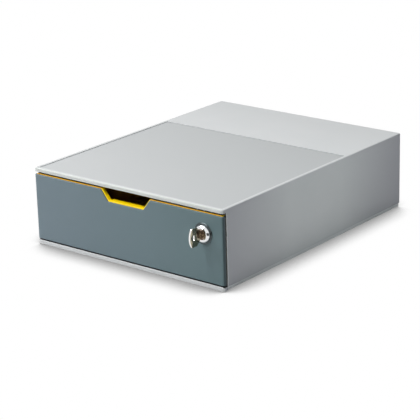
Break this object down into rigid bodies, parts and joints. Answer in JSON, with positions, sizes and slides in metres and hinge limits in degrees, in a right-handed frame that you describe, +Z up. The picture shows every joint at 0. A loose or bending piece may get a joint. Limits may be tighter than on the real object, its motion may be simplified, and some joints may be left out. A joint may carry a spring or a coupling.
{
  "type": "desktop file drawer",
  "caption": "Flat desktop casing with a lockable drawer for A4 papers, a finger notch in the drawer's front, a domed cylinder lock and its key.",
  "frame": {"origin": "on the surface it stands on, under the middle of the whole object with its key in the lock", "axes": "+Z up, the drawer opens towards -Y, +X to the right of someone facing the drawer"},
  "size_m": [0.28, 0.38, 0.095],
  "materials": {
    "casing_grey": "fine spark-eroded grain, light grey",
    "foot_rubber": "matt black soft rubber",
    "tray_yellow": "satin, bright yellow",
    "cover_slate": "fine grain, blue-grey",
    "lock_chrome": "polished",
    "zinc_steel": "zinc plated",
    "plug_nickel": "nickel plated",
    "wafer_brass": "plain stamped brass",
    "key_steel": "nickel plated, stamped"
  },
  "bodies": {
    "casing": {"casing_shell": "casing_grey", "base_plate": "casing_grey", "foot_front_left": "foot_rubber", "foot_front_right": "foot_rubber", "foot_rear_left": "foot_rubber", "foot_rear_right": "foot_rubber"},
    "drawer": {"drawer_tray": "tray_yellow", "tray_front": "tray_yellow", "front_cover": "cover_slate", "lock_trim_ring": "lock_chrome", "lock_housing": "lock_chrome", "lock_tooth_washer": "zinc_steel", "lock_nut": "zinc_steel"},
    "lock_core": {"lock_plug": "plug_nickel", "lock_wafer_1": "wafer_brass", "lock_wafer_2": "wafer_brass", "lock_wafer_3": "wafer_brass", "lock_wafer_4": "wafer_brass", "lock_wafer_5": "wafer_brass", "lock_cam": "zinc_steel", "cam_washer": "zinc_steel", "cam_screw": "zinc_steel"},
    "key": {"key": "key_steel"}
  },
  "joints": [
    {"name": "drawer_slide", "type": "slide", "parent": "casing", "child": "drawer", "axis": [0, -1, 0], "range_m": [0, 0.25]},
    {"name": "lock_turn", "type": "hinge", "parent": "drawer", "child": "lock_core", "pos_m": [0.1125, -0.166, 0.0635], "axis": [0, 1, 0], "range_deg": [0, 90]},
    {"name": "key_withdraw", "type": "slide", "parent": "lock_core", "child": "key", "axis": [0, -1, 0], "range_m": [0, 0.03]}
  ]
}
